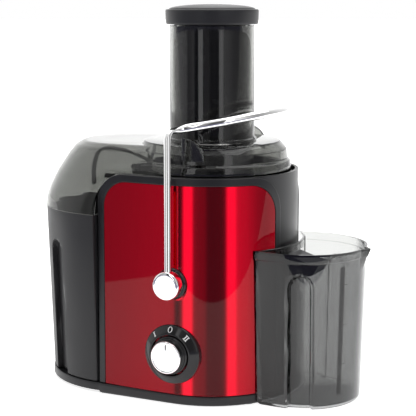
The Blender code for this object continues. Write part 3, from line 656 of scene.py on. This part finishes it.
def dial():
    """The bezel with its 0, I and II marks, and the chrome knob."""
    face = -bezel_low[1]
    profile = [(0.0192, 0.080), (0.0192, face - 0.0008), (0.0198, face), (0.0212, face - 0.0002),
               (0.0276, face - 0.0044), (0.0284, face - 0.0056), (0.0285, 0.080)]
    bezel = turned("bezel", fillet(profile, 0.0005, 3, closed=True), DIAL, TO_FRONT, closed=True)
    add("speed_bezel", cut(bezel, behind_face(0.0001)), GLOSS_BLACK, "root",
        ["dial_bezel"])

    rows = []
    for k in range(40):
        angle = 2 * math.pi * k / 40
        x, z = 0.0015 * math.cos(angle), 0.0024 * math.sin(angle)
        wide, tall = 1.36 * 1.1 * x, 1.36 * 0.92 * z
        rows.append([(x, -0.00015, z), (wide, -0.00015, tall), (wide, 0.00015, tall), (x, 0.00015, z)])
    zero = loft("zero", rows, cyclic=True)
    one = merge([bar(0.0011, 0.0046), bar(0.0020, 0.0006, z=0.0023), bar(0.0020, 0.0006, z=-0.0023)], "one")
    two = merge([bar(0.0010, 0.0046, x) for x in (-0.0011, 0.0011)]
                + [bar(0.0044, 0.0006, z=z) for z in (-0.0023, 0.0023)], "two")
    for name, mesh, angle in (("mark_zero", zero, 0), ("mark_one", one, 42), ("mark_two", two, -43)):
        mesh.transform(on_dial(math.radians(angle), 0.0244))
        add(name, mesh, WHITE_MARK, "root")

    front, back = -knob_low[1], -knob_high[1]
    profile = [(0, front - 0.0006), (0.0132, front - 0.0006), (0.0137, front), (0.0146, front),
               (0.0153, front - 0.0008), (0.0153, front - 0.0044), (0.0150, front - 0.0050),
               (0.0150, front - 0.0062), (0, front - 0.0062)]
    knob = turned("knob", fillet(profile, 0.0004, 3), DIAL, TO_FRONT)
    profile = [(0, front - 0.0064), (0.0160, front - 0.0064), (0.0164, front - 0.0068),
               (0.0167, front - 0.0080), (0.0176, front - 0.0084), (0.0182, front - 0.0092),
               (0.0182, back + 0.0002), (0, back)]
    skirt = turned("skirt", fillet(profile, 0.0003, 3), DIAL, TO_FRONT)
    spindle_r = 0.0033
    add("knob_skirt", cut(skirt, rod(spindle_r, 0.08, 0.2, DIAL, TO_FRONT)), GLOSS_BLACK, "knob")
    groove = slab("groove", (AXIS - 0.0007, -front - 0.002, DIAL_Z + 0.0070),
                  (AXIS + 0.0007, -front + 0.0016, DIAL_Z + 0.0124))
    seat = rod(spindle_r, 0.08, 0.098, DIAL, TO_FRONT)
    add("knob_cap", cut(knob, groove, seat), CHROME, "knob", ["speed_knob"])
    mark = slab("pointer", (AXIS - 0.0005, -front + 0.0007, DIAL_Z + 0.0072),
                (AXIS + 0.0005, -front + 0.0015, DIAL_Z + 0.0122))
    add("knob_pointer", mark, GLOSS_BLACK, "knob")


# --- bail ---
def bail_path():
    """Points and radii of the bail's front half: arm, bend over the lid, and loop round the chute."""
    loop_r, loop_z, rod_r, loop_rod = 0.072, 0.259, 0.0033, 0.0042
    meet = math.radians(78)         # where the loop starts, from its far side
    slope = 0.2
    points, radii = [], []
    foot = HUB_Z + 0.004
    bend = 0.009
    for i in range(9):
        points.append((AXIS, ARM_Y, foot + (loop_z - bend - foot) * i / 8))
        radii.append(rod_r)
    for i in range(1, 13):
        angle = math.radians(90 * i / 12)
        points.append((AXIS, ARM_Y + bend * (1 - math.cos(angle)), loop_z - bend + bend * math.sin(angle)))
        radii.append(rod_r)
    start = Vector(points[-1])
    x = loop_r * math.cos(meet)
    end = Vector((AXIS + x, -loop_r * math.sin(meet), loop_z + slope * x))
    span = (end - start).length
    pull_a = start + Vector((0, 1, 0)) * span * 0.45
    pull_b = end - Vector((math.sin(meet), math.cos(meet), 0.19)) * span * 0.45
    for i in range(1, 12):
        t = i / 12
        spot = (start * (1 - t) ** 3 + pull_a * 3 * t * (1 - t) ** 2 + pull_b * 3 * t ** 2 * (1 - t)
                + end * t ** 3)
        ease = t * t * (3 - 2 * t)
        points.append(tuple(spot))
        radii.append(rod_r + (loop_rod - rod_r) * ease)
    for i in range(37):
        angle = meet * (i / 36 - 1)
        x = loop_r * math.cos(angle)
        points.append((AXIS + x, loop_r * math.sin(angle), loop_z + slope * x))
        radii.append(loop_rod)
    return points, radii


def bail():
    """The chrome bail, its hubs and their black washers."""
    points, radii = bail_path()
    points += [(x, -y, z) for x, y, z in reversed(points[:-1])]
    radii += radii[-2::-1]
    add("bail_loop", tube_mesh("bail_loop", points, radii), ROD_CHROME, "bail", ["bail_rod"])
    hub_r = (hub_high[0] - hub_low[0]) / 2
    washer_r = (washer_high[0] - washer_low[0]) / 2
    face, back = -hub_low[1], -hub_high[1]
    pin_r = (pin_high[0] - pin_low[0]) / 2
    for side, turn, arm_y in (("front", TO_FRONT, ARM_Y), ("rear", TO_REAR, -ARM_Y)):
        profile = [(0, face - 0.0003), (hub_r - 0.0022, face), (hub_r - 0.0006, face - 0.0006),
                   (hub_r, face - 0.0018), (hub_r, back), (0, back)]
        hub = turned("hub", fillet(profile, 0.0008, 4), HUB, turn)
        seat = rod(0.0035, 0.0036, 0.02, (AXIS, arm_y, HUB_Z))
        bore = rod(pin_r + 0.0004, 0.08, -pin_low[1] + 0.0004, HUB, turn)
        add(f"hub_cap_{side}", cut(hub, seat, bore), CHROME, "bail", [f"bail_hub_{side}"])
        profile = [(pin_r + GAP, 0.08), (pin_r + GAP, -washer_low[1]), (washer_r - 0.001, -washer_low[1]),
                   (washer_r, -washer_low[1] - 0.001), (washer_r, 0.08)]
        washer = turned("washer", profile, HUB, turn, closed=True)
        add(f"washer_{side}", cut(washer, behind_face(0.0001)), GLOSS_BLACK, "root",
            [f"hub_washer_{side}"])


# --- lid ---
# radius and height of the hood over the bin, about the bin's centre, down from its flat top
HOOD = ((0.0540, HOOD_TOP), (0.0620, 0.2355), (0.0690, 0.2270), (0.0750, 0.2180), (0.0800, 0.2105),
        (0.0845, 0.2020), (0.0885, 0.1935), (0.0915, 0.1850), (0.0930, bin_high[2] + 0.0004))


def hood_mesh(name, inset):
    """The hood's outer form, or, inset, the room under it."""
    profile = fillet([(0.0300, HOOD_TOP)] + list(HOOD), 0.0022, 3)
    rings = []
    levels = [(r - inset, z - inset) for r, z in profile]
    if inset:
        levels.append((HOOD[-1][0] - inset, 0.15))
    for r, z in levels:
        end = min(r, CROWN_R)
        right = [(AXIS, end * share, z) for share in (-1, -0.5, 0, 0.5, 1)]
        left = [(x, y, z) for x, y in arc(BIN_X, 0, r, 90, 270, 72)]
        rings.append(right + left)
    return loft(name, rings)


def lid():
    """The clear lid: round crown, hood over the bin, feed chute, two lugs and the guide ribs inside."""
    top, chute_top = LID_TOP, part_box("lid")[1][2]
    profile = [(0, top), (0.0665, top), (0.0733, 0.2352), (0.0742, 0.2262), (0.0766, 0.2238),
               (0.0778, 0.2190), (CROWN_R, LID_LOW), (0, LID_LOW)]
    crown = turned("crown", fillet(profile, 0.0008, 4))
    under = top - LID_T
    room = turned("room", [(0, under), (0.0655, under), (0.0712, 0.2345), (0.0720, 0.2254),
                           (0.0745, 0.2228), (0.0752, 0.2185), (0.0752, 0.2165), (0.0768, 0.2165),
                           (0.0768, 0.19), (0, 0.19)])
    chute = turned("chute", [(0, chute_top), (CHUTE_R - 0.0006, chute_top), (CHUTE_R, chute_top - 0.0006),
                             (CHUTE_R, top + 0.0050), (CHUTE_R + 0.0006, top + 0.0030),
                             (CHUTE_R + 0.0020, top + 0.0022), (CHUTE_R + 0.0026, top - 0.001),
                             (CHUTE_R, top - 0.001), (CHUTE_R, 0.178), (0, 0.178)])
    side_y = 0.0765
    face_left = AXIS + FACE_LEFT - 0.0006
    over = FACE_TOP + 0.0006
    outline = [(AXIS + 0.02, 0.1), (face_left, 0.1)]
    outline += arc(face_left + CORNER_R, over - CORNER_R, CORNER_R, 180, 90, 16) + [(AXIS + 0.02, over)]
    hood = cut(hood_mesh("hood", 0), *[sideways("side", outline, y, y + 0.0535) for y in (-0.1300, side_y)],
               slab("middle", (AXIS - 0.0775, -side_y, 0.1), (AXIS + 0.02, side_y, LID_LOW)))
    chute_room = (CHUTE_R, 0.177, top + 0.006)
    room = cut(room, rod(*chute_room, steps=FINE))
    hood_room = cut(hood_mesh("hood_room", LID_T), rod(*chute_room, steps=FINE))
    lug_x, lug_z = AXIS + 0.005, 0.2300
    lug = [(lug_x - 0.001, lug_z)] + arc(lug_x, lug_z, 0.022, 0, 90, 18)
    steps = [("UNION", hood), ("UNION", chute)]
    steps += [("UNION", sideways("lug", lug, y, y + 0.003)) for y in (-0.0755, 0.0725)]
    steps += [("DIFFERENCE", tool) for tool in (room, hood_room, rod(CHUTE_BORE, 0.17, 0.4, steps=FINE))]
    add("clear_lid", carve(crown, steps), SMOKE_LID, "lid", ["lid"])

    # Rods of pale smoky plastic along each lug's curved edge and upright side: painted highlights for the
    # light those edges catch.
    edge = arc(lug_x, lug_z, 0.0214, 4, 90, 18) + [(AXIS + 0.0046, z) for z in (0.2500, 0.2400, 0.2310)]
    for name, y in (("lug_highlight_front", -0.0753), ("lug_highlight_rear", 0.0753)):
        highlight_rod = tube_mesh(name, [(x, y, z) for x, z in edge], [0.0007] * len(edge), 10)
        add(name, highlight_rod, SMOKE_HIGHLIGHT, "lid")

    half_t, half_w = 0.0009, 0.0025
    corners = ((half_t, -half_w), (half_t, half_w), (-half_t, half_w), (-half_t, -half_w))
    route = smooth_route([(-0.100, 0.200), (-0.100, 0.212), (-0.098, 0.223), (-0.093, 0.2325),
                          (-0.084, 0.2355), (-0.072, 0.2350), (-0.058, 0.2325), (-0.046, 0.2285),
                          (-0.036, 0.2245)], 8)
    for name, y in (("guide_rib_front", -0.058), ("guide_rib_rear", 0.058)):
        rings = []
        for i, (x, z) in enumerate(route):
            a, b = (Vector(route[k]) for k in (max(i - 1, 0), min(i + 1, len(route) - 1)))
            along = (b - a).normalized()
            rings.append([(AXIS + x - along.y * t, y + w, z + along.x * t) for t, w in corners])
        add(name, loft(name, rings), SMOKE_RIB, "lid")


def pusher():
    """The pusher with its keyway, and the domed cap."""
    def outline(shrink):
        ring = []
        for k in range(240):
            angle = 360 * k / 240 - 180
            r = PUSHER_R - shrink
            if -70 < angle < -47:            # the keyway
                edge = min(angle + 70, -47 - angle) / 1.5
                r -= 0.0024 * min(1.0, edge)
            elif -90 < angle <= -70:         # the flat beside it
                r -= 0.0005
            if abs(angle + 90) < 0.9:        # the line that ends the flat
                r -= 0.0006
            spot = math.radians(angle)
            ring.append((AXIS + r * math.cos(spot), r * math.sin(spot)))
        return ring
    low, high = pusher_low[2], pusher_high[2]
    levels = [(0.0016, low), (0.0005, low + 0.0006), (0, low + 0.002), (0, high)]
    outer = [[(x, y, z) for x, y in outline(s)] for s, z in levels]
    inner = [[(x, y, z) for x, y in outline(0.0028)] for z in (high, low + 0.004)]
    add("pusher_stem", loft("pusher_stem", outer + inner), PUSHER_BLACK, "pusher",
        ["pusher_body"])
    top, low = cap_high[2], cap_low[2]
    dome_r = CAP_R - 0.0035
    shoulder = top - 0.0048
    dome = [(dome_r * math.sin(math.radians(a)), shoulder + (top - shoulder) * math.cos(math.radians(a)))
            for a in range(0, 91, 6)]
    rim = [(CAP_R - 0.0008, shoulder - 0.0002), (CAP_R, shoulder - 0.0014), (CAP_R - 0.0005, low + 0.0012),
           (CAP_R - 0.0014, low), (0, low)]
    profile = dome[:-1] + fillet([dome[-1]] + rim, 0.0008, 4)
    add("pusher_dome", turned("pusher_dome", profile), CHARCOAL, "pusher",
        ["pusher_cap"])


# --- containers ---
def slot_depth(s, z, half, top, depth, ramp=0.0014):
    """Depth of a round-topped finger groove at s metres from its middle and height z."""
    centre = top - half
    away = math.hypot(s, z - centre) - half if z > centre else abs(s) - half
    t = min(1.0, max(0.0, -away / ramp))
    return depth * t * t * (3 - 2 * t)


def soft_min(values, power):
    """The least of some distances, rounded where two meet."""
    return sum(v ** -power for v in values) ** (-1 / power)


def container(name, centre, round_x, radius_at, back_hit, grips, grip, heights, wall, floor, spread_of,
              lip=None, sides=False):
    """A thin-walled vessel from rays about a centre: a tapered round wall, a back wall and grooves.

    A groove stands at each of the angles in grips; grip is its half width, top and depth. spread_of gives
    the step to the next ray, and lip what it adds to a ray's reach. With sides, the round wall runs on as
    straight sides behind its middle.
    """
    angles, angle = [], -180.0
    while angle < 180.0 - 0.2:
        angles.append(angle)
        angle += spread_of(angle)

    def reach(angle, z, inset):
        spot = math.radians(angle)
        dx = centre - round_x
        b = dx * math.cos(spot)
        radius = radius_at(z) - inset
        r = -b + math.sqrt(max(b * b - dx * dx + radius * radius, 0))
        if sides and math.cos(spot) * r < round_x - centre:
            r = radius / abs(math.sin(spot))
        back = back_hit(spot, inset)
        if back is not None:
            r = soft_min((r, back), 60)
        for place in grips:
            px = centre + r * math.cos(spot) - round_x
            py = r * math.sin(spot)
            turn = (math.degrees(math.atan2(py, px)) - place + 180) % 360 - 180
            r -= slot_depth(math.radians(turn) * radius, z - inset * 0.7, grip[0] + inset, grip[1], grip[2])
        return r + lip(angle, z) if lip else r

    def ring(z, inset):
        made = []
        for angle in angles:
            r = reach(angle, z, inset)
            made.append((centre + r * math.cos(math.radians(angle)), r * math.sin(math.radians(angle)), z))
        return made

    low, high = heights[0], heights[-1]
    levels = [(low, 0.0030), (low + 0.0004, 0.0012), (low + 0.0016, 0.0002)]
    levels += [(z, 0) for z in heights[1:]]
    levels += [(high, wall * 0.25), (high, wall * 0.75), (high - 0.0004, wall)]
    levels += [(z, wall) for z in reversed(heights[1:-1])]
    levels += [(low + floor + 0.0015, wall + 0.0004), (low + floor, wall + 0.0018)]
    return loft(name, [ring(z, inset) for z, inset in levels])


def pulp_bin():
    """The black pulp bin, half round and flat towards the housing, with a finger groove each side."""
    centre = BIN_X - 0.035
    low, high = bin_low[2], bin_high[2]
    wide = BIN_X - bin_low[0]
    narrow = wide - 0.006
    flat = bin_high[0] - centre

    def radius_at(z):
        return narrow + (wide - narrow) * (z - low) / (high - low)

    def back_hit(spot, inset):
        across = math.cos(spot)
        return (flat - inset) / across if across > 0.05 else None

    def detail(angle):
        near = min(abs(abs(angle) - a) for a in (110, 122, 67, 64))
        return 0.75 if near < 9 else 2.0

    heights = [low, low + 0.003] + list(np.linspace(low + 0.008, 0.128, 10))
    heights += list(np.linspace(0.131, 0.147, 9)) + list(np.linspace(0.152, high - 0.0006, 5)) + [high]
    shell = container("bin_shell", centre, BIN_X, radius_at, back_hit, (-125, 125), (0.0115, 0.144, 0.006),
                      heights, 0.0025, 0.0025, detail)
    add("bin_shell", shell, BIN_BLACK, "bin", ["pulp_bin"])


def jug():
    """The smoky jug: hollow back, pour lip, grip grooves, rim band and measuring strip."""
    centre = JUG_X + 0.012
    low, high = jug_low[2], JUG_RIM
    wide, narrow = 0.0600, 0.0545
    back_r = 0.0895
    band_out, band_tall = 0.0007, 0.0085

    def radius_at(z):
        band = band_out * min(1.0, max(0.0, (z - (high - band_tall)) / 0.0008))
        return narrow + (wide - band_out - narrow) * (z - low) / (high - low) + band

    def back_hit(spot, inset):
        dx = centre - AXIS
        b = dx * math.cos(spot)
        inside = b * b - dx * dx + (back_r + inset) ** 2
        if b >= 0 or inside <= 0:
            return None
        return -b - math.sqrt(inside)

    def lip(angle, z):
        """The pour lip, and the trim of the two corners next to the machine."""
        away, lip_half, lip_tall = abs(angle), 10.5, 0.021
        if 108 < away < 125.6:
            return -(0.0010 + 0.0035 * (z - low) / (high - low)) * ((away - 108) / 17.6) ** 2
        if away > lip_half:
            return 0.0
        rise = min(1.0, max(0.0, (z - (high - lip_tall)) / lip_tall))
        return 0.0064 * (1 - away / lip_half) ** 1.25 * rise ** 1.3

    def detail(angle):
        if abs(angle) < 14:
            return 0.7
        near = min(abs(abs(angle) - a) for a in (82, 104, 127))
        return 0.6 if near < 9 else 1.8

    heights = [low, low + 0.003] + list(np.linspace(low + 0.008, 0.108, 10))
    heights += list(np.linspace(0.112, 0.130, 11))
    for below in (0.0130, 0.0095, 0.0088, 0.0084, 0.0078, 0.0060, 0.0035, 0.0008, 0):
        heights.append(high - below)
    shell = container("jug_shell", centre, JUG_X, radius_at, back_hit, (-74, 74), (0.0110, 0.127, 0.0048),
                      heights, JUG_T, 0.003, detail, lip, sides=True)
    window = slab("window", (JUG_X - 0.030, -0.0190, 0.1120), (JUG_X + 0.004, 0.0190, 0.1400))
    add("jug_shell", cut(shell, window), SMOKE_JUG, "jug", ["juice_jug"])

    def on_wall(z, inset, depth, start, end, rise=0.0):
        """A flat section inside the wall, between two angles from the measuring strip's middle."""
        near = radius_at(z) - JUG_T - inset
        row = []
        for r, turn in ((near, start), (near, end), (near - depth, end), (near - depth, start)):
            spot = math.radians(turn - 31)
            row.append((JUG_X + r * math.cos(spot), r * math.sin(spot), z + rise))
        return row

    rings = [on_wall(0.012 + (0.134 - 0.012) * i / 59, 0.0004, 0.0004, -2.6, 2.6) for i in range(60)]
    add("jug_scale_band", loft("jug_scale_band", rings), SMOKE_RIB, "jug")
    for i in range(6):
        end = 7.0 if i % 2 else 5.4
        rings = [on_wall(0.022 + 0.019 * i, 0.0009, 0.0003, 2.9, end, rise) for rise in (-0.0004, 0.0004)]
        add(f"jug_scale_mark_{i + 1}", loft("mark", rings), GREY_MARK, "jug")


# --- inner pieces that stay as the frame gives them ---
def finish_frame_nodes():
    """Give the frame's own nodes their finishes."""
    looks = {"black_plastic": BLACK, "charcoal_plastic": CHARCOAL, "smoky_plastic": SMOKE_LID,
             "red_panel": RED, "chrome": CHROME, "steel": STEEL, "copper": COPPER, "rubber": RUBBER,
             "board": BOARD}
    slots = {part["node"]: part["material_slot"] for part in frame["record"]["subparts"]}
    for name, obj in frame["nodes"].items():
        obj.data.materials.clear()
        obj.data.materials.append(SIEVE if name == "filter_basket" else looks[slots[name]])


# --- stage ---
# brightness of the studio round the machine: plan angle (-90 is straight ahead) and level
STUDIO = ((-180, 1.00), (-150, 0.95), (-138, 0.85), (-133, 0.30), (-126, 0.36), (-118, 0.52),
          (-114.5, 0.52), (-112, 0.05), (-103, 0.05), (-101.5, 2.0), (-90.5, 2.0), (-89, 0.30), (-74, 0.26),
          (-71, 0.10), (-48, 0.10), (-45, 2.0), (-36, 2.0), (-33, 0.90), (-20, 0.75), (-5, 0.42), (5, 0.34),
          (40, 0.55), (90, 1.10), (115, 1.60), (150, 1.10), (180, 1.00))
TABLE_FRONT = 0.50          # from the machine to the table's edge at the front right
TABLE_SIDE = 0.585          # and to its edge on the left
TABLE_CORNER = 0.34         # ahead of the machine, where that edge begins
TABLE_BLUR = 0.006


def stage():
    """A plain pale floor; past the table's edges it is dark in reflections."""
    bm = bmesh.new()
    bmesh.ops.create_circle(bm, cap_ends=True, radius=30.0, segments=96)
    mesh = bpy.data.meshes.new("floor")
    bm.to_mesh(mesh)
    bm.free()
    made, tree, shader, place = new_material("pale_floor")
    edges = []
    for heading, reach in ((-65, TABLE_FRONT), (-139, TABLE_SIDE), (-90, TABLE_CORNER)):
        way = (math.cos(math.radians(heading)), math.sin(math.radians(heading)), 0)
        edges.append(ranged(tree, dot(tree, place, way), reach + TABLE_BLUR, reach - TABLE_BLUR))
    inside = combined(tree, "MULTIPLY", edges[0], combined(tree, "MAXIMUM", edges[1], edges[2]))
    seen = combined(tree, "MAXIMUM", inside, put(tree, "LightPath").outputs["Is Camera Ray"])
    pale = tint(tree, noise(tree, place, 3.0), (0.80, 0.80, 0.80), (0.82, 0.82, 0.82))
    shade = blended(tree, seen, (0.10, 0.10, 0.15, 1), pale)
    wire(tree, shader, {"Base Color": shade, "Emission Color": shade, "Emission Strength": 0.95,
                        "Roughness": 0.6, "Specular IOR Level": 0.1})
    floor = add("floor", mesh, made)


def lights():
    """A broad top light, and a studio of upright panels and strips all round."""
    light = bpy.data.lights.new("top", "AREA")
    light.shape = "RECTANGLE"
    light.size = 1.8
    light.size_y = 1.4
    light.energy = 14
    lamp = bpy.data.objects.new("top", light)
    lamp.location = (AXIS, 0.35, 1.7)
    aim = Vector((AXIS, 0, 0.17)) - lamp.location
    lamp.rotation_euler = aim.to_track_quat("-Z", "Y").to_euler()
    bpy.context.scene.collection.objects.link(lamp)

    world = bpy.data.worlds.new("studio")
    bpy.context.scene.world = world
    world.use_nodes = True
    tree = world.node_tree
    rays = put(tree, "LightPath").outputs
    direct = combined(tree, "MAXIMUM", rays["Is Camera Ray"], rays["Is Transmission Ray"])
    place = put(tree, "TexCoord").outputs["Generated"]
    parts = put(tree, "SeparateXYZ", {"Vector": place}).outputs
    turn = combined(tree, "ARCTAN2", parts["Y"], parts["X"])
    ramp = put(tree, "ValToRGB", {"Fac": ranged(tree, turn, -math.pi, math.pi)})
    stops = ramp.color_ramp.elements
    while len(stops) < len(STUDIO):
        stops.new(0.5)
    for stop, (angle, level) in zip(stops, STUDIO):
        stop.position = (angle + 180) / 360
        stop.color = (level, level, level, 1)
    above = ranged(tree, parts["Z"], 0.70, 0.85)
    domed = blended(tree, above, ramp.outputs["Color"], (0.8, 0.8, 0.8, 1))
    wire(tree, tree.nodes["Background"], {"Color": blended(tree, direct, domed, (1, 1, 1, 1))})
    bpy.context.scene.view_settings.view_transform = "Standard"


def camera():
    """The camera, at the front right and a little above, looking down at the machine."""
    lens = bpy.data.cameras.new("camera")
    lens.sensor_width = 36
    lens.lens = 106.9
    lens.shift_y = -0.146
    lens.clip_end = 50
    view = bpy.data.objects.new("camera", lens)
    azimuth, tilt, turn = math.radians(25.02), math.radians(6.58), math.radians(0.19)
    reach, height = 1.208, 0.3743
    view.location = (AXIS + reach * math.sin(azimuth), -reach * math.cos(azimuth), height)
    view.rotation_euler = (math.pi / 2 - tilt, 0, azimuth + turn)
    bpy.context.scene.collection.objects.link(view)
    bpy.context.scene.camera = view


finish_frame_nodes()
base()
housing()
fascia()
dial()
bail()
lid()
pusher()
pulp_bin()
jug()
stage()
lights()
camera()
